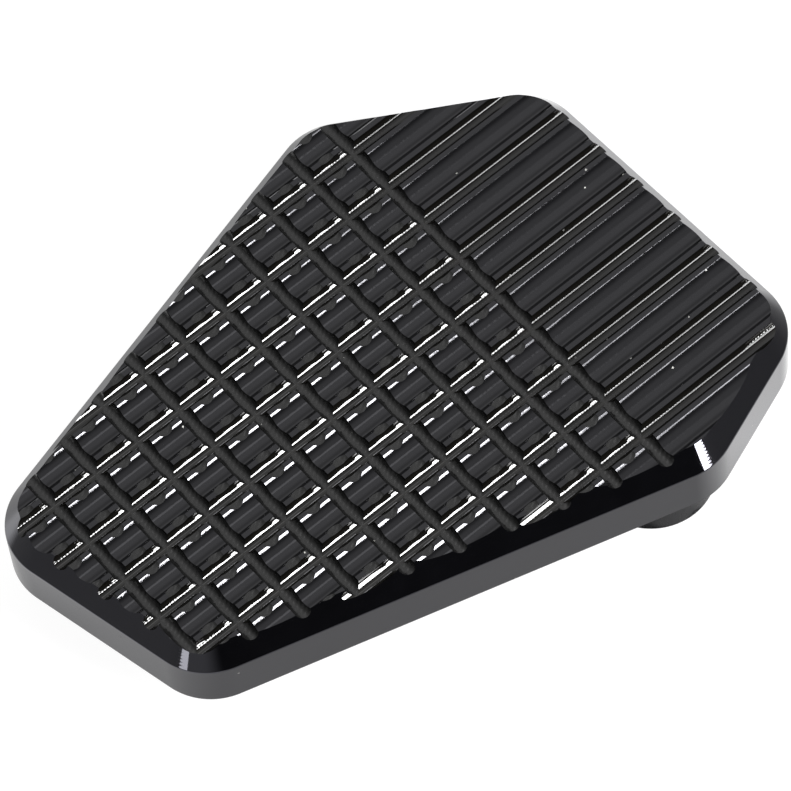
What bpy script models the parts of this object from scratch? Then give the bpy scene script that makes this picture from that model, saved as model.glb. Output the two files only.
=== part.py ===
"""Brake pedal extension for a motorbike.

A machined tread plate with long grooves and cross grooves on top takes the tip of the brake pedal in a pocket
under it. A round-ended clamp bar lies across the pocket, held by two countersunk socket screws.
The frame: origin in the middle of the face that bears on the pedal tip, halfway between the screws,
+X along the long grooves towards the wide end, +Y towards the back edge, +Z up to the tread.
"""

import math

import bmesh
import bpy
from mathutils import Vector

MM = 0.001

# Outline of the plate: its six corners before they are rounded, in mm
NARROW_BACK = (-52.4, 14.0)
NARROW_FRONT = (-47.0, -10.5)
SHOULDER_FRONT = (1.4, -25.1)
WIDE_FRONT = (17.1, -19.3)
WIDE_BACK = (16.0, 15.3)
SHOULDER_BACK = (-3.3, 27.2)
CORNER_RADIUS = 6.3

# Heights and edges of the plate
WALL_HEIGHT = 5.4
CHAMFER_HEIGHT = 2.6
CHAMFER_WIDTH = 1.65
EDGE_BREAK = 0.25

# Long grooves, which run from end to end
GROOVE_PITCH = 5.0
FINE_GROOVE_Y = 0.92
FINE_GROOVE_COUNT_FRONT = 4
FINE_GROOVE_COUNT_BACK = 4
FINE_CUTTER_RADIUS = 0.74
FINE_DEPTH = 0.88
WIDE_CUTTER_RADIUS = 2.0
WIDE_DEPTH = 0.47
WIDE_OFFSET = 2.52

# Cross grooves, from the shoulders to the narrow end
CROSS_PITCH = 4.835
CROSS_LAST_X = -2.3
CROSS_COUNT = 10
CROSS_CUTTER_RADIUS = 0.74
CROSS_DEPTH = 0.88

# Shallow cross grooves, half a pitch from each cross groove towards the narrow end
SHALLOW_CUTTER_RADIUS = 1.5
SHALLOW_DEPTH = 0.2

# Pocket for the pedal tip
POCKET_DEPTH = 4.5
POCKET_WIDTH = 24.0
POCKET_TO_WIDE_END = 11.0
POCKET_TO_NARROW_END = 19.0
POCKET_CORNER_RADIUS = 4.0

# Clamp bar
BAR_WIDTH = 12.0
BAR_THICKNESS = 4.0
BAR_EDGE_BREAK = 0.3

# Countersunk socket screws
SCREW_SPACING = 35.0
SCREW_RADIUS = 2.5
SCREW_LENGTH = 8.0
SCREW_TIP_BREAK = 0.4
HEAD_RADIUS = 4.6
HEAD_RIM = 0.4
HEAD_RECESS = 0.1
SOCKET_WIDTH = 3.0
SOCKET_DEPTH = 1.9

# Clearance between pieces that touch on the real part, and spare depth past a screw's tip
FIT_GAP = 0.3
TIP_ROOM = 0.5

# Room that the cutters leave past the faces they cut through
CUTTER_ROOM = 1.0
GROOVE_OVERRUN = 5.0

# Facets of round shapes, and the angle in degrees over which an edge stays sharp
CORNER_STEPS = 8
FINE_STEPS = 6
WIDE_STEPS = 6
SHALLOW_STEPS = 4
ROUND_STEPS = 48
SHARP_ANGLE = 31

# Finishes: colour, roughness and how metallic the surface is
ANODISED_FINISH = ((0.012, 0.012, 0.014), 0.22, 0.6)
BLACKENED_FINISH = ((0.03, 0.03, 0.032), 0.38, 0.9)

# Heights that follow
UNDERSIDE_Z = -POCKET_DEPTH
WALL_TOP_Z = UNDERSIDE_Z + WALL_HEIGHT
TREAD_Z = WALL_TOP_Z + CHAMFER_HEIGHT
BAR_TOP_Z = UNDERSIDE_Z - FIT_GAP
BAR_BOTTOM_Z = BAR_TOP_Z - BAR_THICKNESS
HEAD_FACE_Z = BAR_BOTTOM_Z + HEAD_RECESS
HEAD_CONE_TOP_Z = HEAD_FACE_Z + HEAD_RIM + HEAD_RADIUS - SCREW_RADIUS
SCREW_TIP_Z = HEAD_FACE_Z + SCREW_LENGTH

# Rise of the countersink over the head that keeps the gap between their 45 degree cones
CONE_GAP_RISE = FIT_GAP * (math.sqrt(2) - 1)


def clear_scene():
    """Remove every object, so that the script starts from an empty scene."""
    for item in list(bpy.data.objects):
        bpy.data.objects.remove(item, do_unlink=True)


def metal(name, colour, roughness, metallic):
    """A metal finish as a Principled material."""
    material = bpy.data.materials.new(name)
    material.use_nodes = True
    shader = material.node_tree.nodes["Principled BSDF"]
    shader.inputs["Base Color"].default_value = (*colour, 1.0)
    shader.inputs["Roughness"].default_value = roughness
    shader.inputs["Metallic"].default_value = metallic
    return material


def rounded_outline(corners, radius, steps):
    """Points of a closed outline whose corners are rounded by arcs of one radius."""
    points = []
    for index, corner in enumerate(corners):
        here = Vector(corner)
        to_last = (Vector(corners[index - 1]) - here).normalized()
        to_next = (Vector(corners[(index + 1) % len(corners)]) - here).normalized()
        half_angle = to_last.angle(to_next) / 2
        centre = here + (to_last + to_next).normalized() * (radius / math.sin(half_angle))
        start = here + to_last * (radius / math.tan(half_angle)) - centre
        end = here + to_next * (radius / math.tan(half_angle)) - centre
        turn = start.angle_signed(end)
        for step in range(steps + 1):
            angle = math.atan2(start.y, start.x) - turn * step / steps
            points.append(centre + Vector((math.cos(angle), math.sin(angle))) * radius)
    return points


def offset_corners(corners, inset):
    """Corners of an outline whose edges have all moved inwards by the inset."""
    lines = []
    for index, corner in enumerate(corners):
        start = Vector(corner)
        along = (Vector(corners[(index + 1) % len(corners)]) - start).normalized()
        inward = Vector((-along.y, along.x))
        lines.append((start + inward * inset, along))
    moved = []
    for index, (point, along) in enumerate(lines):
        last_point, last_along = lines[index - 1]
        cross = last_along.x * along.y - last_along.y * along.x
        gap = point - last_point
        reach = (gap.x * along.y - gap.y * along.x) / cross
        moved.append(last_point + last_along * reach)
    return moved


def loft(name, rings):
    """A closed solid through rings of points, each an outline and its height, lowest first, in mm."""
    mesh = bmesh.new()
    loops = []
    for outline, height in rings:
        loops.append([mesh.verts.new((p[0] * MM, p[1] * MM, height * MM)) for p in outline])
    for lower, upper in zip(loops, loops[1:]):
        for index in range(len(lower)):
            following = (index + 1) % len(lower)
            mesh.faces.new((lower[index], lower[following], upper[following], upper[index]))
    mesh.faces.new(list(reversed(loops[0])))
    mesh.faces.new(loops[-1])
    return finish_mesh(name, mesh)


def finish_mesh(name, mesh):
    """Turn a bmesh into a linked object with its faces pointing out."""
    bmesh.ops.recalc_face_normals(mesh, faces=mesh.faces)
    data = bpy.data.meshes.new(name)
    mesh.to_mesh(data)
    mesh.free()
    item = bpy.data.objects.new(name, data)
    bpy.context.collection.objects.link(item)
    return item


def circle(centre, radius, steps=ROUND_STEPS):
    """Points of a circle, counter-clockwise."""
    turns = [2 * math.pi * step / steps for step in range(steps)]
    return [(centre[0] + radius * math.cos(t), centre[1] + radius * math.sin(t)) for t in turns]


def stadium(length, radius, steps=ROUND_STEPS // 2):
    """Outline of a bar along Y with full round ends, whose end centres are the length apart."""
    points = []
    for centre, first in ((length / 2, 0.0), (-length / 2, math.pi)):
        for step in range(steps + 1):
            angle = first + math.pi * step / steps
            points.append((radius * math.cos(angle), centre + radius * math.sin(angle)))
    return points


def turned(name, profile, centre, steps=ROUND_STEPS):
    """A solid turned about a vertical axis from (radius, height) points, lowest first, in mm."""
    return loft(name, [(circle(centre, radius, steps), height) for radius, height in profile])


def cut(body, cutter):
    """Subtract the cutter from the body with a Boolean modifier and hide the cutter."""
    cutter.hide_render = True
    cutter.display_type = "WIRE"
    modifier = body.modifiers.new("cut " + cutter.name, "BOOLEAN")
    modifier.operation = "DIFFERENCE"
    modifier.solver = "EXACT"
    modifier.object = cutter


def groove_profile(radius, depth, steps):
    """Section of a ball-ended groove as (across, height) points, open at the tread and closed above it.

    A cutter deeper than its radius leaves straight walls above its half round; a shallower one leaves
    an arc that meets the tread at an angle.
    """
    centre_z = TREAD_Z - depth + radius
    if depth >= radius:
        sweep = math.pi / 2
    else:
        sweep = math.acos((radius - depth) / radius)
    arc = []
    for step in range(steps + 1):
        angle = -sweep + 2 * sweep * step / steps
        arc.append((radius * math.sin(angle), centre_z - radius * math.cos(angle)))
    top = TREAD_Z + CUTTER_ROOM
    half_mouth = radius * math.sin(sweep)
    if depth < radius:
        half_mouth += CUTTER_ROOM / math.tan(sweep)
    return [(-half_mouth, top)] + arc + [(half_mouth, top)]


def long_groove(name, y, profile, x_low, x_high):
    """Cutter for a groove along X: the groove's section carried from one end to the other."""
    mesh = bmesh.new()
    ends = []
    for x in (x_low, x_high):
        ends.append([mesh.verts.new((x * MM, (y + across) * MM, z * MM)) for across, z in profile])
    return prism(name, mesh, ends)


def cross_groove(name, x, profile, y_low, y_high):
    """Cutter for a groove along Y."""
    mesh = bmesh.new()
    ends = []
    for y in (y_low, y_high):
        ends.append([mesh.verts.new(((x + across) * MM, y * MM, z * MM)) for across, z in profile])
    return prism(name, mesh, ends)


def prism(name, mesh, ends):
    """Close a bmesh that holds two like rings of vertices into a prism."""
    first, second = ends
    for index in range(len(first)):
        following = (index + 1) % len(first)
        mesh.faces.new((first[index], first[following], second[following], second[index]))
    mesh.faces.new(list(reversed(first)))
    mesh.faces.new(second)
    return finish_mesh(name, mesh)


def plate_corners():
    """The outline's corners, counter-clockwise from the narrow end."""
    return [NARROW_BACK, NARROW_FRONT, SHOULDER_FRONT, WIDE_FRONT, WIDE_BACK, SHOULDER_BACK]


def plate_ring(inset):
    """The rounded outline moved inwards by the inset, with arcs about the same centres."""
    return rounded_outline(offset_corners(plate_corners(), inset), CORNER_RADIUS - inset, CORNER_STEPS)


def screw_centres():
    """Places of the two screws, by the names of their ends."""
    return {"front": (0.0, -SCREW_SPACING / 2), "back": (0.0, SCREW_SPACING / 2)}


def build_pad_plate(finish):
    """The tread plate, its grooves, its pocket and its blind screw holes."""
    plate = loft("pad_plate", [
        (plate_ring(EDGE_BREAK), UNDERSIDE_Z),
        (plate_ring(0.0), UNDERSIDE_Z + EDGE_BREAK),
        (plate_ring(0.0), WALL_TOP_Z),
        (plate_ring(CHAMFER_WIDTH), TREAD_Z),
    ])
    corners = plate_corners()
    x_low = min(x for x, y in corners) - GROOVE_OVERRUN
    x_high = max(x for x, y in corners) + GROOVE_OVERRUN
    y_low = min(y for x, y in corners) - GROOVE_OVERRUN
    y_high = max(y for x, y in corners) + GROOVE_OVERRUN

    wide_profile = groove_profile(WIDE_CUTTER_RADIUS, WIDE_DEPTH, WIDE_STEPS)
    fine_profile = groove_profile(FINE_CUTTER_RADIUS, FINE_DEPTH, FINE_STEPS)
    cross_profile = groove_profile(CROSS_CUTTER_RADIUS, CROSS_DEPTH, FINE_STEPS)
    shallow_profile = groove_profile(SHALLOW_CUTTER_RADIUS, SHALLOW_DEPTH, SHALLOW_STEPS)
    for row in range(-FINE_GROOVE_COUNT_FRONT - 1, FINE_GROOVE_COUNT_BACK + 1):
        y = FINE_GROOVE_Y + GROOVE_PITCH * row
        cut(plate, long_groove("cut_wide_%d" % row, y + WIDE_OFFSET, wide_profile, x_low, x_high))
    for row in range(-FINE_GROOVE_COUNT_FRONT, FINE_GROOVE_COUNT_BACK + 1):
        y = FINE_GROOVE_Y + GROOVE_PITCH * row
        cut(plate, long_groove("cut_fine_%d" % row, y, fine_profile, x_low, x_high))
    for column in range(CROSS_COUNT):
        x = CROSS_LAST_X - CROSS_PITCH * column
        cut(plate, cross_groove("cut_cross_%d" % column, x, cross_profile, y_low, y_high))
        x -= CROSS_PITCH / 2
        cut(plate, cross_groove("cut_shallow_%d" % column, x, shallow_profile, y_low, y_high))

    half_width = POCKET_WIDTH / 2
    pocket = rounded_outline([
        (-POCKET_TO_NARROW_END, -half_width),
        (POCKET_TO_WIDE_END, -half_width),
        (POCKET_TO_WIDE_END, half_width),
        (-POCKET_TO_NARROW_END, half_width),
    ], POCKET_CORNER_RADIUS, CORNER_STEPS)
    cut(plate, loft("cut_pocket", [(pocket, UNDERSIDE_Z - CUTTER_ROOM), (pocket, 0.0)]))
    for end, centre in screw_centres().items():
        hole_radius = SCREW_RADIUS + FIT_GAP
        cut(plate, turned("cut_hole_" + end, [
            (hole_radius, UNDERSIDE_Z - CUTTER_ROOM),
            (hole_radius, SCREW_TIP_Z + TIP_ROOM),
        ], centre))
    plate.data.materials.append(finish)
    return plate


def build_clamp_bar(finish):
    """The round-ended bar with a countersunk hole at each end."""
    radius = BAR_WIDTH / 2
    edge = BAR_EDGE_BREAK
    bar = loft("clamp_bar", [
        (stadium(SCREW_SPACING, radius - edge), BAR_BOTTOM_Z),
        (stadium(SCREW_SPACING, radius), BAR_BOTTOM_Z + edge),
        (stadium(SCREW_SPACING, radius), BAR_TOP_Z - edge),
        (stadium(SCREW_SPACING, radius - edge), BAR_TOP_Z),
    ])
    for end, centre in screw_centres().items():
        cut(bar, turned("cut_countersink_" + end, [
            (HEAD_RADIUS + FIT_GAP, BAR_BOTTOM_Z - CUTTER_ROOM),
            (HEAD_RADIUS + FIT_GAP, HEAD_FACE_Z + HEAD_RIM + CONE_GAP_RISE),
            (SCREW_RADIUS + FIT_GAP, HEAD_CONE_TOP_Z + CONE_GAP_RISE),
            (SCREW_RADIUS + FIT_GAP, BAR_TOP_Z + CUTTER_ROOM),
        ], centre))
    bar.data.materials.append(finish)
    return bar


def build_screw(end, centre, finish):
    """A countersunk screw with a hexagon socket, head down."""
    screw = turned("screw_" + end, [
        (HEAD_RADIUS, HEAD_FACE_Z),
        (HEAD_RADIUS, HEAD_FACE_Z + HEAD_RIM),
        (SCREW_RADIUS, HEAD_CONE_TOP_Z),
        (SCREW_RADIUS, SCREW_TIP_Z - SCREW_TIP_BREAK),
        (SCREW_RADIUS - SCREW_TIP_BREAK, SCREW_TIP_Z),
    ], centre)
    socket_radius = SOCKET_WIDTH / math.sqrt(3)
    cut(screw, turned("cut_socket_" + end, [
        (socket_radius, HEAD_FACE_Z - CUTTER_ROOM),
        (socket_radius, HEAD_FACE_Z + SOCKET_DEPTH),
    ], centre, steps=6))
    screw.data.materials.append(finish)
    return screw


def smooth_round_sides(item):
    """Shade an object smooth, with its edges over the sharp angle kept sharp."""
    item.data.shade_smooth()
    item.data.set_sharp_from_angle(angle=math.radians(SHARP_ANGLE))


def main():
    clear_scene()
    anodised = metal("black_anodised", *ANODISED_FINISH)
    blackened = metal("blackened_steel", *BLACKENED_FINISH)
    pieces = [build_pad_plate(anodised), build_clamp_bar(anodised)]
    for end, centre in screw_centres().items():
        pieces.append(build_screw(end, centre, blackened))
    for piece in pieces:
        smooth_round_sides(piece)


main()
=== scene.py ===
"""Looks of the brake pedal extension: the machined plate, the bar under it, its screws and a pale studio.

All lengths are in millimetres until a mesh is written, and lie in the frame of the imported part:
+X along the long grooves towards the wide end, +Y towards the back edge, +Z up out of the tread.
"""

import math

import bpy
import numpy as np
from mathutils import Matrix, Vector
from mathutils.geometry import delaunay_2d_cdt


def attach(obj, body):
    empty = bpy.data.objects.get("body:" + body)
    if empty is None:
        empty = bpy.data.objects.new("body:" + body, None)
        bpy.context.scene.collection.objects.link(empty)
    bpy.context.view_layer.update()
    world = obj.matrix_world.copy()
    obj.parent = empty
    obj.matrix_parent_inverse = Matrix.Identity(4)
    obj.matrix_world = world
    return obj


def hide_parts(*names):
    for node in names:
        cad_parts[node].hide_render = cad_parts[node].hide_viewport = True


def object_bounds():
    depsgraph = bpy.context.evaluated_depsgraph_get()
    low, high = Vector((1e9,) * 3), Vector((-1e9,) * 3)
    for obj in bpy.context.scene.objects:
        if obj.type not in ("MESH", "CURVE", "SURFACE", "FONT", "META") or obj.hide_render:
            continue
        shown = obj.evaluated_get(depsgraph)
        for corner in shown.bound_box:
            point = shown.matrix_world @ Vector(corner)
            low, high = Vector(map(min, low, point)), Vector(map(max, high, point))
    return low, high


MM = 0.001
MICROMETRE = 0.000001
QUARTER_TURN = math.pi / 2
UP = np.array((0.0, 0.0, 1.0))
DOWN = -UP

# Outline of the plate before its corners are rounded, counter-clockwise from the narrow end
CORNERS = np.array([
    (-52.4, 14.0), (-47.0, -10.5), (1.4, -25.1), (17.1, -19.3), (16.0, 15.3), (-3.3, 27.2),
])
CORNER_RADIUS = 6.3

# Heights and edges of the plate: the wall's foot is cut at 45 degrees, its rim is rounded
UNDERSIDE_Z = -4.5
WALL_TOP_Z = 0.9
TREAD_Z = 3.5
CHAMFER_WIDTH = 1.65
CHAMFER_SLOPE = (TREAD_Z - WALL_TOP_Z) / CHAMFER_WIDTH
EDGE_BREAK = 0.25
RIM_BREAK = 0.07
RIM_DROP = 0.9

# Grooves: pitch, place, and each cutter's radius and depth
GROOVE_PITCH = 5.0
GROOVE_ROWS = range(-5, 5)
FINE_GROOVE_Y = 0.92
WIDE_OFFSET = 2.52
FINE_CUTTER = (0.74, 0.88)
WIDE_CUTTER = (2.0, 0.47)
CROSS_PITCH = 4.835
CROSS_LAST_X = -2.3
CROSS_COUNT = 10
CROSS_CUTTER = (0.74, 0.88)
SHALLOW_CUTTER = (1.5, 0.2)
WALL_RUN = 0.002
WIDE_REACH = 1.3

# How much less steep the wide grooves' far side is shaded, by the place along X
FAR_EDGE_EASE = (
    (-22.0, -19.2, -14.4, -9.6, -4.7, -1.5, 1.0, 12.0),
    (1.0, 0.985, 0.96, 0.964, 0.958, 0.942, 0.88, 0.856),
)

# Spans along each groove's round, the usual span across a flat strip, and the share of one that a strip may
# be longer by before it gets another
FINE_STEPS = 12
WIDE_STEPS = 9
SHALLOW_STEPS = 5
LAND_STEP = 0.6
LAND_OVER = 0.6

# How near two values count as one: for a cut, a point on the outline and a flat's corner, and the places
# after the point that welded points agree in
CUT_SLACK = 0.00001
EDGE_SLACK = 0.0001
FLAT_SLACK = 0.0000001
WELD_PLACES = 5

# Pocket, holes, bar and screws
POCKET = (-19.0, 11.0, 12.0)
POCKET_CORNER = 4.0
POCKET_BREAK = 0.2
POCKET_STEPS = 12
HOLE_RADIUS = 2.8
HOLE_TOP_Z = -0.2
SCREW_Y = 17.5
BAR_RADIUS = 6.0
BAR_TOP_Z = -4.8
BAR_BOTTOM_Z = -8.8
BAR_BREAK = 0.3
BAR_STEPS = 40
BAR_BREAK_STEPS = 5
SINK_RADIUS = 4.9
HEAD_RECESS = 0.1
HEAD_RIM = 0.4
FIT_GAP = 0.3
SINK_RIM_Z = BAR_BOTTOM_Z + HEAD_RECESS + HEAD_RIM + FIT_GAP * (math.sqrt(2) - 1)

# How far the upper line of a broken edge faces down, at the wall's foot and at the pocket's mouth
FOOT_LEAN = 0.3
MOUTH_LEAN = 0.4

# The plate's finishes, in the order of its materials
TREAD, CROSS, CHAMFER, WALL, UNDERSIDE, FINE = range(6)

# Wear: blotches, soft spots and cells in a millimetre, how much paler blotches are, and the specks
BLOTCHES_PER_MM = 0.35
SPOTS_PER_MM = 2.2
CELLS_PER_MM = 0.9
BLOTCH_GAIN = 2.2
SPECK_REACH = 0.09
SPECK_CHANCE = 0.08
SPECK_ROUGHNESS = 0.5

# The streaks' low and high level, and the share of its roughness that metal has at each
STREAK_SPAN = (0.3, 0.7)
ROUGH_SPAN = (0.85, 1.2)

# Length over which a wave texture of scale 1 repeats
WAVE_UNIT = 2 * math.pi / 20

# The round white table, how far under the part it lies, and the piece of it that the plate covers, a painted
# shadow in reflections
TABLE_RADIUS = 250.0
TABLE_STEPS = 96
TABLE_DROP = 0.05
COVERED_DROP = 0.03
COVERED_INSET = 1.2
TABLE_WHITE = 0.95

# The photographed view: where the camera stands and its right, down and forward directions
CAMERA_PLACE = (-0.15915, -0.21117, 0.46387)
CAMERA_RIGHT = (0.76069287, -0.64649363, -0.05824384)
CAMERA_DOWN = (-0.58929965, -0.65019153, -0.47955907)
CAMERA_FORWARD = (0.27216223, 0.39912024, -0.87557453)
CAMERA_LENS = 266.06

# The dome's glow by its turn in degrees from straight overhead, less than 0 towards the front
SKY = (
    (-90, 0.02), (-60, 0.02), (-50, 0.04), (-38, 0.1), (-34, 0.16), (-29.5, 0.27), (-24.5, 0.42),
    (-18, 0.6), (-12, 0.7), (6, 0.72), (12, 1.0), (36, 1.0), (45, 0.85), (55, 0.6), (65, 0.62),
    (74, 0.95), (79, 0.5), (84, 0.1), (90, 0.02),
)
DOME_STRENGTH = 0.55

# The dome on the left, by how far its direction points along X: where it is dimmest and where it is full, and
# the share that is left. Its pale band: where along X it starts and is full, and the same along Z, and its glow
DIM_SPAN = (-1.1, 0.1)
DIM_SHARE = 0.25
BAND_ALONG = (-0.4, -0.8)
BAND_ABOVE = (0.3, 0.05)
BAND_GLOW = 0.75

# The bright strip in front on the right, at one place along Y in metres, as panes that lie over each other:
# left, right, bottom, top and glow
STRIP_Y = -0.4293
STRIP_PANES = (
    (0.045, 0.068, -0.031, 0.100, 34.0),
    (0.068, 0.148, -0.031, 0.360, 34.0),
    (0.098, 0.148, 0.360, 0.437, 34.0),
    (0.068, 0.098, 0.150, 0.360, 25.0),
    (0.098, 0.130, 0.150, 0.407, 34.0),
    (0.098, 0.152, 0.150, 0.407, 12.0),
    (0.098, 0.166, 0.150, 0.407, 4.0),
    (0.098, 0.182, 0.150, 0.407, 4.0),
    (0.098, 0.215, 0.150, 0.407, 10.0),
    (0.148, 0.178, 0.210, 0.437, 12.0),
)

# The other lamps: name, place in metres, direction, width and height, glow, and if the metal mirrors it
LAMPS = (
    ("tube", (-0.1, 0.24, 1.5), (0.0, -0.16, -1.0), (1.1, 0.26), 0.6, True),
    ("side", (-0.42, -0.11, -0.01), (0.97, 0.26, 0.0), (0.07, 0.03), 5.0, True),
    ("fill", (0.19, 0.34, 1.45), (-0.13, -0.22, -0.97), (1.2, 1.2), 1.6, False),
)

# Painted light on the open floor in reflections, by its place along X in metres, and where along Y a painted
# shadow darkens it
FLOOR_REACH = 0.25
FLOOR_PAINTED_GLOW = (
    (-0.25, 0.15), (-0.075, 0.2), (-0.064, 1.5), (-0.058, 1.3), (-0.054, 0.7), (-0.047, 0.52),
    (-0.035, 0.48), (0.0, 0.48), (0.009, 1.3), (0.024, 1.1), (0.034, 0.2), (0.046, 0.03), (0.25, 0.03),
)
FRONT_PAINTED_SHADE = (-0.06, -0.036)

# The covered floor's painted glow in reflections, and how far to each side of its middle it reaches in metres;
# beyond that it is a painted shadow under the plate
COVERED_PAINTED_GLOW = 0.5
COVERED_PAINTED_SHADE = (0.022, 0.019)


class Surface:
    """Patches of triangles with a direction at each of their corners, welded into one mesh."""

    def __init__(self):
        self.points, self.triangles, self.facing, self.finish = [], [], [], []
        self.count = 0

    def add(self, points, triangles, facing, finish):
        """Add a patch: points, triangles, the directions at their corners, and its finish's number."""
        self.points.append(np.asarray(points, float))
        self.triangles.append(np.asarray(triangles, int) + self.count)
        self.facing.append(np.asarray(facing, float))
        self.finish.append(np.broadcast_to(finish, len(triangles)))
        self.count += len(points)

    def mesh(self, name, materials):
        """The welded mesh as an object that rides on the part's one body."""
        points = np.round(np.concatenate(self.points), WELD_PLACES)
        points, weld = np.unique(points, axis=0, return_inverse=True)
        triangles = weld.ravel()[np.concatenate(self.triangles)]
        a, b, c = triangles.T
        whole = (a != b) & (b != c) & (c != a)
        triangles = triangles[whole]
        facing = np.concatenate(self.facing)[whole]
        facing = facing / np.linalg.norm(facing, axis=2, keepdims=True)
        data = bpy.data.meshes.new(name)
        data.vertices.add(len(points))
        data.vertices.foreach_set("co", (points * MM).ravel())
        data.loops.add(triangles.size)
        data.loops.foreach_set("vertex_index", triangles.ravel())
        data.polygons.add(len(triangles))
        data.polygons.foreach_set("loop_start", np.arange(0, triangles.size, 3))
        data.polygons.foreach_set("loop_total", np.full(len(triangles), 3))
        for material in materials:
            data.materials.append(material)
        data.polygons.foreach_set("material_index", np.concatenate(self.finish)[whole])
        data.update(calc_edges=True)
        data.normals_split_custom_set(facing.reshape(-1, 3).tolist())
        piece = bpy.data.objects.new(name, data)
        bpy.context.collection.objects.link(piece)
        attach(piece, "root")
        return piece


def section(cutters, low, high):
    """Section across a row of grooves, as places, heights, and the directions at each span's two ends.

    A groove is the round of its cutter, z = middle - radius cos(a) at centre + radius sin(a), with straight
    walls above it where the cutter goes deeper than its radius. The lands between are flat.
    """
    places, heights, starts, ends = [low], [TREAD_Z], [], []

    def span(place, height, start, end):
        places.append(place)
        heights.append(height)
        starts.append(start)
        ends.append(end)

    def land(end):
        start = places[-1]
        steps = max(1, math.ceil((end - start) / LAND_STEP - LAND_OVER))
        for step in range(1, steps + 1):
            span(start + (end - start) * step / steps, TREAD_Z, (0, 1), (0, 1))

    for centre, (radius, depth), steps in cutters:
        middle = TREAD_Z - depth + radius
        sweep = math.acos(max(radius - depth, 0) / radius)
        mouth = radius * math.sin(sweep)
        wall = WALL_RUN if depth > radius else 0
        land(centre - mouth - wall)
        if wall:
            span(centre - mouth, middle, (1, 0), (1, 0))
        turns = np.linspace(-sweep, sweep, steps + 1)
        for before, after in zip(turns, turns[1:]):
            span(centre + radius * math.sin(after), middle - radius * math.cos(after),
                 (-math.sin(before), math.cos(before)), (-math.sin(after), math.cos(after)))
        if wall:
            span(centre + mouth + wall, TREAD_Z, (-1, 0), (-1, 0))
    land(high)
    return np.array(places), np.array(heights), np.array(starts, float), np.array(ends, float)


def section_facing(shape, middles, places):
    """Directions (across, up) of a section at places that belong to triangles with the given middles."""
    nodes, heights, starts, ends = shape
    index = np.clip(np.searchsorted(nodes, middles) - 1, 0, len(starts) - 1)[:, None]
    part = (places - nodes[index]) / (nodes[index + 1] - nodes[index])
    part = np.clip(part, 0, 1)[:, :, None]
    return starts[index] * (1 - part) + ends[index] * part


def edge_distance(points):
    """Distance in from the plate's rounded outline, and the direction out across it.

    Along a side it is the distance to that side; round a corner it is the radius less the distance to the
    corner's centre.
    """
    along = np.roll(CORNERS, -1, axis=0) - CORNERS
    along /= np.linalg.norm(along, axis=1, keepdims=True)
    inward = np.c_[-along[:, 1], along[:, 0]]
    sides = points @ inward.T - (CORNERS * inward).sum(1)
    nearest = sides.argmin(1)
    distance = sides.min(1)
    out = -inward[nearest]
    for index, corner in enumerate(CORNERS):
        bisector = inward[index] + inward[index - 1]
        centre = corner + bisector * CORNER_RADIUS / (1 + inward[index] @ inward[index - 1])
        spoke = points - centre
        rounded = (spoke @ along[index - 1] > 0) & (spoke @ along[index] < 0)
        length = np.linalg.norm(spoke, axis=1)
        distance = np.where(rounded, CORNER_RADIUS - length, distance)
        out[rounded] = spoke[rounded] / length[rounded, None]
    return distance, out


def cut_along_zero(points, triangles, values):
    """Split the triangles that a value changes sign across, along the straight line where it is zero."""
    values = np.where(np.abs(values) < CUT_SLACK, 0, values)
    sign = np.sign(values)[triangles]
    crossed = (sign.min(1) < 0) & (sign.max(1) > 0)
    kept, split = triangles[~crossed], triangles[crossed]
    sign = sign[crossed]
    through = (sign == 0).any(1)
    lone = np.where(through, (sign == 0).argmax(1), (sign == -np.sign(sign.sum(1))[:, None]).argmax(1))
    split = split[np.arange(len(split))[:, None], (lone[:, None] + np.arange(3)) % 3]
    a, b, c = split[~through].T
    d, e, f = split[through].T
    pairs = np.sort(np.r_[np.c_[a, b], np.c_[a, c], np.c_[e, f]], axis=1)
    pairs, back = np.unique(pairs, axis=0, return_inverse=True)
    back = back.ravel() + len(points)
    first, second = values[pairs].T
    part = (first / (first - second))[:, None]
    fresh = points[pairs[:, 0]] * (1 - part) + points[pairs[:, 1]] * part
    ab, ac, ef = back[:len(a)], back[len(a):2 * len(a)], back[2 * len(a):]
    return np.r_[points, fresh], np.r_[
        kept, np.c_[a, ab, ac], np.c_[ab, b, c], np.c_[ab, c, ac], np.c_[d, e, ef], np.c_[d, ef, f]]


def tread_heights(points, long_shape, cross_shape):
    """Heights at the points of the long grooves, of the cross grooves and of the chamfer.

    The chamfer's is the wall's top + the distance in from the outline times the slope.
    """
    along = np.interp(points[:, 1], long_shape[0], long_shape[1])
    across = np.interp(points[:, 0], cross_shape[0], cross_shape[1])
    return along, across, WALL_TOP_Z + edge_distance(points)[0] * CHAMFER_SLOPE


def off_groove(y, offset):
    """Distance from the nearest long groove of the kind that lies this far past each fine groove."""
    half = GROOVE_PITCH / 2
    return np.abs((y - FINE_GROOVE_Y - offset + half) % GROOVE_PITCH - half)


def groove_sections():
    """Section of the long grooves over Y, and of the cross grooves over X."""
    rows = []
    for row in GROOVE_ROWS:
        y = FINE_GROOVE_Y + GROOVE_PITCH * row
        if row > GROOVE_ROWS[0]:
            rows.append((y, FINE_CUTTER, FINE_STEPS))
        rows.append((y + WIDE_OFFSET, WIDE_CUTTER, WIDE_STEPS))
    columns = []
    for column in range(CROSS_COUNT):
        x = CROSS_LAST_X - CROSS_PITCH * column
        columns += [(x, CROSS_CUTTER, FINE_STEPS), (x - CROSS_PITCH / 2, SHALLOW_CUTTER, SHALLOW_STEPS)]
    low, high = CORNERS.min(0) - 1, CORNERS.max(0) + 1
    return section(rows, low[1], high[1]), section(sorted(columns), low[0], high[0])


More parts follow.
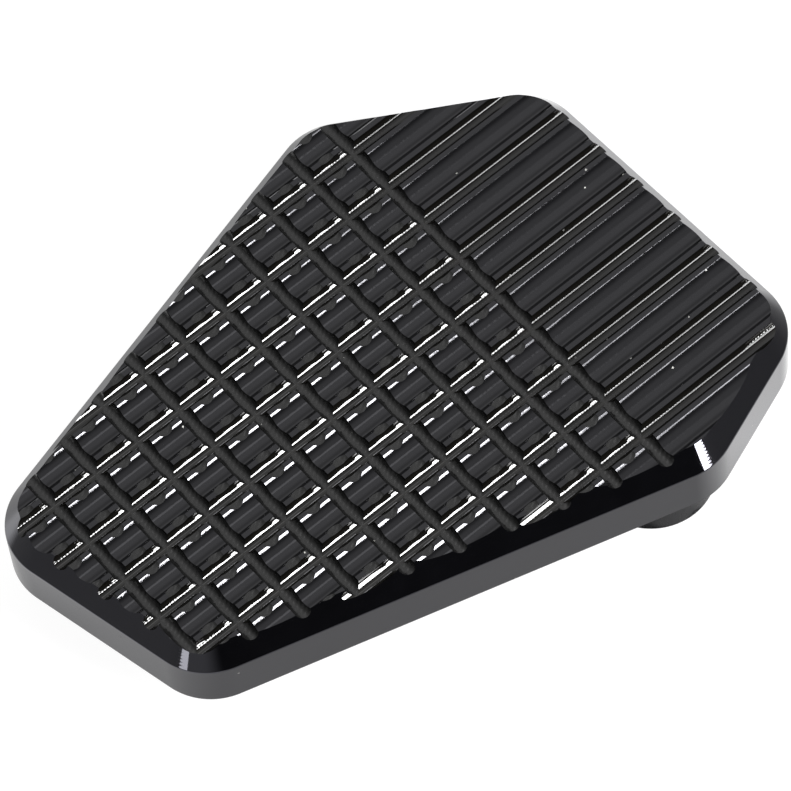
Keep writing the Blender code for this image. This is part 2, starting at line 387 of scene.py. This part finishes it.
def tread_grid(long_shape, cross_shape):
    """Points (x, y) and triangles that fill the outline.

    A grid follows both sections, so each is straight inside a cell, and the triangles are cut where one of
    the three heights takes over from another and where the outline and its rounded rim end them.
    """
    xs, ys = cross_shape[0], long_shape[0]
    grid_x, grid_y = np.meshgrid(xs, ys)
    points = np.c_[grid_x.ravel(), grid_y.ravel()]
    corner = (np.arange(len(ys) - 1)[:, None] * len(xs) + np.arange(len(xs) - 1)).ravel()
    a, b, c, d = corner, corner + 1, corner + 1 + len(xs), corner + len(xs)
    triangles = np.r_[np.c_[a, b, c], np.c_[a, c, d]]
    inner = edge_distance(points)[0] > 0
    triangles = triangles[inner[triangles].any(1)]

    along, across, slope = tread_heights(points, long_shape, cross_shape)
    points, triangles = cut_along_zero(points, triangles, along - across)
    along, across, slope = tread_heights(points, long_shape, cross_shape)
    points, triangles = cut_along_zero(points, triangles, slope - np.minimum(along, across))
    for inset in (RIM_BREAK, 0.0):
        points, triangles = cut_along_zero(points, triangles, edge_distance(points)[0] - inset)
    inner = edge_distance(points)[0] > -EDGE_SLACK
    triangles = triangles[inner[triangles].all(1)]
    used, triangles = np.unique(triangles, return_inverse=True)
    return points[used], triangles.reshape(-1, 3)


def add_tread(surface):
    """The grooved top and its chamfer: z is the least of the long grooves, the cross grooves and the slope.

    The directions come from whichever of the three is least, and turn level across the rounded rim.
    Returns the rim's points in order.
    """
    long_shape, cross_shape = groove_sections()
    points, triangles = tread_grid(long_shape, cross_shape)
    along, across, slope = tread_heights(points, long_shape, cross_shape)
    distance, out = edge_distance(points)
    height = np.minimum(np.minimum(along, across), slope)
    height -= np.clip(RIM_BREAK - distance, 0, RIM_BREAK) * RIM_DROP

    corners = points[triangles]
    middles = corners.mean(1)
    along, across, slope = tread_heights(middles, long_shape, cross_shape)
    kind = np.argmin(np.c_[along, across, slope], axis=1)
    facing = np.zeros((len(triangles), 3, 3))
    facing[:, :, 1:] = section_facing(long_shape, middles[:, 1], corners[:, :, 1])
    wide = off_groove(corners[:, :, 1], WIDE_OFFSET) < WIDE_REACH
    eased = np.interp(corners[:, :, 0], *FAR_EDGE_EASE)
    facing[:, :, 1] *= np.where(wide & (facing[:, :, 1] < 0), eased, 1)
    crossing = section_facing(cross_shape, middles[:, 0], corners[:, :, 0])
    crossing = np.dstack([crossing[:, :, 0], np.zeros(crossing.shape[:2]), crossing[:, :, 1]])
    facing[kind == CROSS] = crossing[kind == CROSS]
    out = out[triangles]
    tilt = np.dstack([out * CHAMFER_SLOPE, np.ones(out.shape[:2])])
    tilt /= np.linalg.norm(tilt, axis=2, keepdims=True)
    facing[kind == CHAMFER] = tilt[kind == CHAMFER]
    sideways = np.dstack([out, np.zeros(out.shape[:2])])
    turned = np.clip(distance[triangles] / RIM_BREAK, 0, 1)[:, :, None]
    rim = edge_distance(middles)[0] < RIM_BREAK
    facing[rim] = (sideways * (1 - turned) + tilt * turned)[rim]
    kind[(kind == TREAD) & (off_groove(middles[:, 1], 0.0) < FINE_CUTTER[0])] = FINE
    surface.add(np.c_[points, height], triangles, facing, kind)
    return rim_of(np.c_[points, height], triangles)


def rim_of(points, triangles):
    """Points along the triangles' open edge, in order."""
    edges = np.r_[triangles[:, :2], triangles[:, 1:], triangles[:, [2, 0]]]
    known = set(map(tuple, edges.tolist()))
    following = {a: b for a, b in known if (b, a) not in known}
    first = here = next(iter(following))
    order = [first]
    while following[here] != first:
        here = following[here]
        order.append(here)
    return points[order]


def add_band(surface, lower, upper, lower_facing, upper_facing, finish):
    """A closed band between two rings whose points meet one to one, with the directions along each."""
    count = len(lower)
    here = np.arange(count)
    following = (here + 1) % count
    lower_facing = np.broadcast_to(lower_facing, lower.shape)
    upper_facing = np.broadcast_to(upper_facing, upper.shape)
    facing = np.r_[lower_facing, upper_facing]
    on_lower = np.c_[here, following, following + count]
    on_upper = np.c_[here, following + count, here + count]
    triangles = np.r_[on_lower, on_upper]
    surface.add(np.r_[lower, upper], triangles, facing[triangles], finish)


def add_flat(surface, outer, holes, facing, finish):
    """A level face at an outer ring's height: triangles that lie inside it and outside the hole rings."""
    rings = [outer] + list(holes)
    flat = np.concatenate(rings)[:, :2]
    loops, start = [], 0
    for ring in rings:
        loops.append([start + (index % len(ring)) for index in range(len(ring))])
        start += len(ring)
    edges = [(loop[index], loop[(index + 1) % len(loop)]) for loop in loops for index in range(len(loop))]
    points, _, faces, _, _, _ = delaunay_2d_cdt([tuple(p) for p in flat], edges, [], 0, FLAT_SLACK)
    points = np.array([tuple(p) for p in points])
    triangles = np.array([face for face in faces])
    middles = points[triangles].mean(1)
    kept = inside(middles, outer)
    for hole in holes:
        kept &= ~inside(middles, hole)
    triangles = triangles[kept]
    if facing[2] < 0:
        triangles = triangles[:, ::-1]
    height = np.full(len(points), outer[0][2])
    facing = np.broadcast_to(facing, (len(triangles), 3, 3))
    surface.add(np.c_[points, height], triangles, facing, finish)


def inside(points, ring):
    """Whether each point lies inside a ring, by how often a line along +X from it meets the ring."""
    x, y = points[:, 0, None], points[:, 1, None]
    x0, y0 = ring[:, 0], ring[:, 1]
    x1, y1 = np.roll(x0, -1), np.roll(y0, -1)
    spans = (y0 > y) != (y1 > y)
    rise = np.where(y1 == y0, 1, y1 - y0)
    return (spans & (x < x0 + (y - y0) * (x1 - x0) / rise)).sum(1) % 2 == 1


def arcs(centres, radius, turns, steps):
    """Ring of arcs: centre + radius (cos a, sin a) over each centre's span of a, and the directions out."""
    angles = np.concatenate([np.linspace(start, end, steps + 1) for start, end in turns])
    middle = np.repeat(np.array(centres, float), steps + 1, axis=0)
    out = np.c_[np.cos(angles), np.sin(angles)]
    return middle + out * radius, out


def at_height(ring, z):
    """A ring of (x, y) points at one height."""
    return np.c_[ring, np.full(len(ring), z)]


def level(out):
    """Outward directions (x, y) as level directions in space."""
    return np.c_[out, np.zeros(len(out))]


def circle(centre, radius, steps=72):
    """Ring of points, centre + radius (cos a, sin a) for a once round, and the directions out."""
    angles = np.arange(steps) * 2 * math.pi / steps
    out = np.c_[np.cos(angles), np.sin(angles)]
    return np.array(centre) + out * radius, out


def build_plate(materials):
    """The plate: its grooved top, its wall, its underside with the pedal pocket and the two blind holes."""
    surface = Surface()
    rim = add_tread(surface)
    out = edge_distance(rim[:, :2])[1]
    low_wall = at_height(rim[:, :2], UNDERSIDE_Z + EDGE_BREAK)
    sole = at_height(rim[:, :2] - out * EDGE_BREAK, UNDERSIDE_Z)
    add_band(surface, low_wall, rim, level(out), level(out), WALL)
    add_band(surface, sole, low_wall, level(out) + DOWN, level(out) + DOWN * FOOT_LEAN, WALL)

    x_low, x_high, half = POCKET
    inner = POCKET_CORNER
    centres = [(x_high - inner, half - inner), (x_low + inner, half - inner),
               (x_low + inner, inner - half), (x_high - inner, inner - half)]
    turns = [(QUARTER_TURN * index, QUARTER_TURN * (index + 1)) for index in range(4)]
    pocket, out = arcs(centres, inner, turns, POCKET_STEPS)
    mouth = at_height(pocket + out * POCKET_BREAK, UNDERSIDE_Z)
    lip = at_height(pocket, UNDERSIDE_Z + POCKET_BREAK)
    top = at_height(pocket, 0.0)
    add_band(surface, lip, mouth, DOWN * MOUTH_LEAN - level(out), DOWN - level(out), UNDERSIDE)
    add_band(surface, top, lip, -level(out), -level(out), UNDERSIDE)
    add_flat(surface, top, [], DOWN, UNDERSIDE)
    holes = []
    for y in (-SCREW_Y, SCREW_Y):
        ring, out = circle((0, y), HOLE_RADIUS)
        top, bottom = at_height(ring, HOLE_TOP_Z), at_height(ring, UNDERSIDE_Z)
        add_band(surface, top, bottom, -level(out), -level(out), UNDERSIDE)
        add_flat(surface, top, [], DOWN, UNDERSIDE)
        holes.append(bottom)
    add_flat(surface, sole, [mouth] + holes, DOWN, UNDERSIDE)
    plate = surface.mesh("plate_machined", materials)
    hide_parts("pad_plate")
    return plate


def build_bar(material):
    """The round-ended bar with its two countersunk holes.

    Its upper and lower edges are rounded over: out by the break times cos a, up or down by it times sin a.
    """
    surface = Surface()
    centres = [(0, SCREW_Y), (0, -SCREW_Y)]
    turns = [(0, 2 * QUARTER_TURN), (2 * QUARTER_TURN, 4 * QUARTER_TURN)]
    inner, out = arcs(centres, BAR_RADIUS - BAR_BREAK, turns, BAR_STEPS)
    rings, facings = [], []
    tilts = np.linspace(0, QUARTER_TURN, BAR_BREAK_STEPS)
    for z, lean, edge in ((BAR_BOTTOM_Z + BAR_BREAK, -1, tilts[::-1]), (BAR_TOP_Z - BAR_BREAK, 1, tilts)):
        for tilt in edge:
            ring = inner + out * BAR_BREAK * math.cos(tilt)
            rings.append(at_height(ring, z + lean * BAR_BREAK * math.sin(tilt)))
            facings.append(level(out) * math.cos(tilt) + UP * lean * math.sin(tilt))
    for index in range(len(rings) - 1):
        add_band(surface, rings[index], rings[index + 1], facings[index], facings[index + 1], 0)
    bottom_holes, top_holes = [], []
    for y in (-SCREW_Y, SCREW_Y):
        wide, out = circle((0, y), SINK_RADIUS)
        narrow = circle((0, y), HOLE_RADIUS)[0]
        cone_z = SINK_RIM_Z + SINK_RADIUS - HOLE_RADIUS
        levels = [(wide, BAR_BOTTOM_Z), (wide, SINK_RIM_Z), (narrow, cone_z), (narrow, BAR_TOP_Z)]
        slopes = [-level(out), DOWN - level(out), -level(out)]
        for (low, low_z), (high, high_z), facing in zip(levels, levels[1:], slopes):
            add_band(surface, at_height(high, high_z), at_height(low, low_z), facing, facing, 0)
        bottom_holes.append(at_height(wide, BAR_BOTTOM_Z))
        top_holes.append(at_height(narrow, BAR_TOP_Z))
    add_flat(surface, rings[0], bottom_holes, DOWN, 0)
    add_flat(surface, rings[-1], top_holes, UP, 0)
    bar = surface.mesh("bar_machined", [material])
    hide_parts("clamp_bar")
    return bar


def node(tree, kind, inputs=(), **settings):
    """A new node with its settings; each input is given as a value or as the output that feeds it."""
    item = tree.nodes.new("ShaderNode" + kind)
    for name, value in settings.items():
        setattr(item, name, value)
    for place, value in dict(inputs).items():
        if isinstance(value, bpy.types.NodeSocket):
            tree.links.new(value, item.inputs[place])
        else:
            item.inputs[place].default_value = value
    return item


def ramp(tree, stops, low, high, value):
    """A grey level that runs straight from stop to stop; each stop is a place and the level there."""
    share = node(tree, "MapRange", {0: value, 1: low, 2: high})
    item = node(tree, "ValToRGB", {0: share.outputs[0]})
    elements = item.color_ramp.elements
    while len(elements) < len(stops):
        elements.new(1.0)
    for element, (place, glow) in zip(elements, stops):
        element.position = (place - low) / (high - low)
        element.color = (glow, glow, glow, 1)
    return item.outputs["Color"]


def wear_group():
    """Soft blotches and a few small specks, as two masks.

    A speck is the part of a cell that is nearer to its middle than the reach, in the share of cells that
    the chance gives one.
    """
    tree = bpy.data.node_groups.new("wear", "ShaderNodeTree")
    tree.interface.new_socket("Place", in_out="INPUT", socket_type="NodeSocketVector")
    tree.interface.new_socket("Blotches", in_out="OUTPUT", socket_type="NodeSocketFloat")
    tree.interface.new_socket("Specks", in_out="OUTPUT", socket_type="NodeSocketFloat")
    place = tree.nodes.new("NodeGroupInput").outputs[0]
    ends = tree.nodes.new("NodeGroupOutput")
    soft = {"Vector": place, "Scale": BLOTCHES_PER_MM, "Detail": 3.0, "Roughness": 0.6}
    blotches = node(tree, "TexNoise", soft)
    cells = node(tree, "TexVoronoi", {"Vector": place, "Scale": CELLS_PER_MM})
    small = node(tree, "Math", {0: cells.outputs["Distance"], 1: SPECK_REACH}, operation="LESS_THAN")
    pick = node(tree, "SeparateColor", {0: cells.outputs["Color"]})
    rare = node(tree, "Math", {0: pick.outputs[0], 1: 1 - SPECK_CHANCE}, operation="GREATER_THAN")
    specks = node(tree, "Math", {0: small.outputs[0], 1: rare.outputs[0]}, operation="MULTIPLY")
    tree.links.new(blotches.outputs[0], ends.inputs[0])
    tree.links.new(specks.outputs[0], ends.inputs[1])
    return tree


def ripples(tree, place, period, turn, axis, rings):
    """Waves the cutter left, a period apart in millimetres, as a height from 0 to 1.

    They follow an axis that is turned about Z by so many degrees, or run as rings about a point (x, y).
    """
    if rings:
        bands = node(tree, "Mapping", {"Vector": place, "Location": (-rings[0], -rings[1], 0)})
        bands = node(tree, "TexWave", {"Vector": bands.outputs[0]}, wave_type="RINGS", rings_direction="Z")
    else:
        bands = node(tree, "Mapping", {"Vector": place, "Rotation": (0, 0, math.radians(turn))})
        bands = node(tree, "TexWave", {"Vector": bands.outputs[0]}, bands_direction=axis)
    bands.inputs["Scale"].default_value = WAVE_UNIT / period
    bands.inputs["Distortion"].default_value = 1.5
    bands.inputs["Detail Scale"].default_value = 0.5
    return bands.outputs["Fac"]


def machined(name, colour, roughness, ior, stretch, streak, ripple=0.0, period=1.0, turn=0.0, axis="X",
             mottle=0.0, rings=None, sheen=(1.0, 1.0, 1.0), speck=0.12):
    """Anodised or blackened metal with streaks, mottling, the cutter's ripples and specks.

    Stretch is how many streaks a millimetre holds along X, Y and Z. Streak, mottle and ripple are heights
    in micrometres. The sheen tints its reflections, and speck is how pale the specks are.
    """
    material = bpy.data.materials.new(name)
    material.use_nodes = True
    tree = material.node_tree
    where = node(tree, "TexCoord").outputs["Object"]
    place = node(tree, "VectorMath", {0: where, 3: 1 / MM}, operation="SCALE").outputs[0]
    streaks = node(tree, "Mapping", {"Vector": place, "Scale": stretch}).outputs[0]
    streaks = node(tree, "TexNoise", {"Vector": streaks, "Scale": 1.0, "Detail": 3.0}).outputs[0]
    spots = node(tree, "TexNoise", {"Vector": place, "Scale": SPOTS_PER_MM, "Detail": 3.0}).outputs[0]
    waves = ripples(tree, place, period, turn, axis, rings)
    normal = node(tree, "Bump", {"Height": streaks, "Distance": streak * MICROMETRE}).outputs[0]
    for height, size in ((spots, mottle), (waves, ripple)):
        if size:
            values = {"Height": height, "Distance": size * MICROMETRE, "Normal": normal}
            normal = node(tree, "Bump", values).outputs[0]

    wear = tree.nodes.new("ShaderNodeGroup")
    wear.node_tree = WEAR
    tree.links.new(place, wear.inputs["Place"])
    blotches, specks = wear.outputs["Blotches"], wear.outputs["Specks"]
    pale = tuple(value * BLOTCH_GAIN for value in colour)
    tint = node(tree, "Mix", {0: blotches, 6: (*colour, 1), 7: (*pale, 1)}, data_type="RGBA").outputs[2]
    dust = (speck, speck, speck * 0.93, 1)
    tint = node(tree, "Mix", {0: specks, 6: tint, 7: dust}, data_type="RGBA").outputs[2]
    smooth, coarse = (roughness * share for share in ROUGH_SPAN)
    rough = {0: streaks, 1: STREAK_SPAN[0], 2: STREAK_SPAN[1], 3: smooth, 4: coarse}
    rough = node(tree, "MapRange", rough).outputs[0]
    rough = node(tree, "Mix", {0: specks, 2: rough, 3: SPECK_ROUGHNESS}).outputs[0]
    shader = tree.nodes["Principled BSDF"]
    shader.inputs["IOR"].default_value = ior
    shader.inputs["Specular Tint"].default_value = (*sheen, 1)
    tree.links.new(tint, shader.inputs["Base Color"])
    tree.links.new(rough, shader.inputs["Roughness"])
    tree.links.new(normal, shader.inputs["Normal"])
    return material


def build_studio(floor_z):
    """The table in two pieces, the one under the plate a painted shadow in reflections, the dome, the bright
    strip's panes and the other lamps.
    """
    table = circle((0, 0), TABLE_RADIUS, TABLE_STEPS)[0]
    covered = CORNERS - COVERED_INSET * np.sign(CORNERS - CORNERS.mean(0))
    add_floor("floor", table, floor_z - TABLE_DROP * MM, True)
    # The piece under the plate is a painted shadow in reflections, with a painted glow in its middle
    add_floor("floor_under_plate_painted_shadow", covered, floor_z - COVERED_DROP * MM, False)
    build_world()
    for left, right, bottom, top, glow in STRIP_PANES:
        middle = ((left + right) / 2, STRIP_Y, (bottom + top) / 2)
        lamp("strip", middle, (0, 1, 0), (right - left, top - bottom), glow)
    for name, place, facing, size, glow, mirrored in LAMPS:
        lamp(name, place, facing, size, glow).visible_glossy = mirrored


def add_floor(name, ring, z, open_floor):
    """A level piece of the table inside a ring, at a height in metres."""
    data = bpy.data.meshes.new(name)
    data.from_pydata([(x * MM, y * MM, z) for x, y in ring], [], [range(len(ring))])
    data.materials.append(floor_white_painted_glow(open_floor))
    floor = bpy.data.objects.new(name, data)
    bpy.context.collection.objects.link(floor)


def floor_white_painted_glow(open_floor):
    """White to the camera and see-through from below.

    In reflections the open floor glows by its place along X and is dark in front, as painted light and shadow.
    The covered floor is a painted shadow under the plate in reflections, with a painted glow in its middle
    alone.
    """
    material = bpy.data.materials.new("floor_white_painted_glow")
    material.use_nodes = True
    tree = material.node_tree
    where = node(tree, "TexCoord")
    x, y = node(tree, "SeparateXYZ", {0: where.outputs["Object"]}).outputs[:2]
    # Glow in reflections: painted light along X and a painted shadow in front, or under the plate a painted
    # shadow with a painted glow in its middle
    if open_floor:
        glow = ramp(tree, FLOOR_PAINTED_GLOW, -FLOOR_REACH, FLOOR_REACH, x)
        dark, bright = FRONT_PAINTED_SHADE
    else:
        glow = COVERED_PAINTED_GLOW
        y = node(tree, "Math", {0: y}, operation="ABSOLUTE").outputs[0]
        dark, bright = COVERED_PAINTED_SHADE
    shade = node(tree, "MapRange", {0: y, 1: dark, 2: bright}).outputs[0]
    glow = node(tree, "Math", {0: glow, 1: shade}, operation="MULTIPLY").outputs[0]
    path = node(tree, "LightPath")
    glow = node(tree, "Math", {0: glow, 1: path.outputs["Is Glossy Ray"]}, operation="MULTIPLY").outputs[0]
    seen = node(tree, "Mix", {0: path.outputs["Is Camera Ray"], 2: glow, 3: TABLE_WHITE})
    shader = tree.nodes["Principled BSDF"]
    shader.inputs["Base Color"].default_value = (0.1, 0.1, 0.1, 1)
    shader.inputs["Roughness"].default_value = 0.9
    shader.inputs["Specular IOR Level"].default_value = 0.0
    shader.inputs["Emission Color"].default_value = (1, 1, 1, 1)
    tree.links.new(seen.outputs[0], shader.inputs["Emission Strength"])
    below = node(tree, "NewGeometry").outputs["Backfacing"]
    clear = node(tree, "BsdfTransparent").outputs[0]
    both = node(tree, "MixShader", {0: below, 1: shader.outputs[0], 2: clear}).outputs[0]
    tree.links.new(both, tree.nodes["Material Output"].inputs["Surface"])
    return material


def build_world():
    """A soft dome that glows by its turn from overhead, the angle of (y, z) from straight up.

    It is dimmer on the left and has a pale band low there. The camera sees plain white.
    """
    world = bpy.data.worlds.new("studio")
    bpy.context.scene.world = world
    world.use_nodes = True
    tree = world.node_tree
    where = node(tree, "TexCoord")
    x, y, z = node(tree, "SeparateXYZ", {0: where.outputs["Generated"]}).outputs
    turn = node(tree, "Math", {0: y, 1: z}, operation="ARCTAN2").outputs[0]
    degrees = node(tree, "Math", {0: turn, 1: 180 / math.pi}, operation="MULTIPLY").outputs[0]
    sky = ramp(tree, SKY, -90, 90, degrees)
    ease = {0: x, 1: DIM_SPAN[0], 2: DIM_SPAN[1], 3: DIM_SHARE}
    ease = node(tree, "MapRange", ease, interpolation_type="SMOOTHSTEP").outputs[0]
    sky = node(tree, "Math", {0: sky, 1: ease}, operation="MULTIPLY").outputs[0]
    left = {0: x, 1: BAND_ALONG[0], 2: BAND_ALONG[1], 3: 0.0, 4: BAND_GLOW}
    left = node(tree, "MapRange", left, interpolation_type="SMOOTHSTEP").outputs[0]
    low = {0: z, 1: BAND_ABOVE[0], 2: BAND_ABOVE[1]}
    low = node(tree, "MapRange", low, interpolation_type="SMOOTHSTEP").outputs[0]
    band = node(tree, "Math", {0: left, 1: low}, operation="MULTIPLY").outputs[0]
    total = node(tree, "Math", {0: sky, 1: band}, operation="ADD").outputs[0]
    strength = node(tree, "Math", {0: total, 1: DOME_STRENGTH}, operation="MULTIPLY").outputs[0]
    path = node(tree, "LightPath")
    shown = node(tree, "Mix", {0: path.outputs["Is Camera Ray"], 2: strength, 3: 1.0}).outputs[0]
    background = tree.nodes["Background"]
    background.inputs["Color"].default_value = (1, 1, 1, 1)
    tree.links.new(shown, background.inputs["Strength"])


def lamp(name, place, facing, size, glow):
    """A square lamp at a place in metres that faces a direction; its power is glow x pi x area."""
    data = bpy.data.lights.new(name, "AREA")
    data.shape = "RECTANGLE"
    data.size, data.size_y = size
    data.energy = glow * math.pi * size[0] * size[1]
    item = bpy.data.objects.new(name, data)
    back = -np.array(facing, float) / np.linalg.norm(facing)
    right = np.cross(UP, back)
    right /= np.linalg.norm(right)
    axes = np.c_[right, np.cross(back, right), back]
    item.matrix_world = Matrix.Translation(place) @ Matrix(axes.tolist()).to_4x4()
    item.visible_camera = False
    bpy.context.collection.objects.link(item)
    return item


def place_camera():
    """The photographed view, a long lens from above the narrow end's front."""
    data = bpy.data.cameras.new("photo_view")
    data.sensor_width = 36
    data.lens = CAMERA_LENS
    camera = bpy.data.objects.new("photo_view", data)
    bpy.context.collection.objects.link(camera)
    axes = np.c_[CAMERA_RIGHT, -np.array(CAMERA_DOWN), -np.array(CAMERA_FORWARD)]
    camera.matrix_world = Matrix.Translation(CAMERA_PLACE) @ Matrix(axes.tolist()).to_4x4()
    bpy.context.scene.camera = camera


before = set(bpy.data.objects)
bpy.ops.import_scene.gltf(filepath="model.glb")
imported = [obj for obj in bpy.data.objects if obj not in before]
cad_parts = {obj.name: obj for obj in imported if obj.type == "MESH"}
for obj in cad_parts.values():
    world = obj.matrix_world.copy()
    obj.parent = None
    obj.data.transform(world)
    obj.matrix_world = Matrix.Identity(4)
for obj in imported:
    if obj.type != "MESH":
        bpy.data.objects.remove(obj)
CAD_LOW, CAD_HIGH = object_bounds()
bpy.context.scene.view_settings.view_transform = "Standard"

WEAR = wear_group()
BLACK = (0.0014, 0.0014, 0.0016)
tread = machined(
    "anodised_tread", BLACK, 0.08, 1.75, (0.3, 7, 7), 0.9, mottle=6.0, sheen=(0.94, 0.94, 1.0), speck=0.4)
cross = machined(
    "anodised_cross", (0.003, 0.003, 0.003), 0.22, 1.75, (6, 0.5, 6), 4.0, ripple=12.0, period=0.45,
    turn=60.0, mottle=30.0)
chamfer = machined(
    "anodised_chamfer", (0.0008, 0.0008, 0.001), 0.045, 1.75, (0.5, 0.5, 8), 0.2, ripple=0.45, period=0.3,
    axis="Z", sheen=(0.88, 0.88, 1.0))
wall = machined(
    "anodised_wall", BLACK, 0.12, 1.7, (0.6, 0.6, 9), 0.6, mottle=1.0, sheen=(0.92, 0.91, 1.0))
underside = machined(
    "anodised_underside", (0.008, 0.008, 0.009), 0.22, 1.7, (3, 3, 3), 0.6, ripple=1.5, period=0.6,
    mottle=1.0, rings=(-30.0, -60.0))
fine = machined(
    "anodised_fine", (0.002, 0.0018, 0.0014), 0.07, 1.75, (0.3, 7, 7), 0.4, ripple=0.8, period=0.33,
    turn=12.0, mottle=2.0)
build_plate([tread, cross, chamfer, wall, underside, fine])
build_bar(machined("anodised_bar", (0.003, 0.003, 0.0035), 0.28, 1.33, (0.6, 8, 0.6), 0.8, mottle=2.0))
for screw, y in (("screw_front", -SCREW_Y), ("screw_back", SCREW_Y)):
    steel = machined(
        "steel_" + screw, (0.03, 0.03, 0.03), 0.28, 2.2, (3, 3, 3), 0.5, ripple=2.0, period=0.25,
        mottle=1.5, rings=(0.0, y))
    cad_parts[screw].data.materials.clear()
    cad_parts[screw].data.materials.append(steel)
build_studio(CAD_LOW.z)
place_camera()
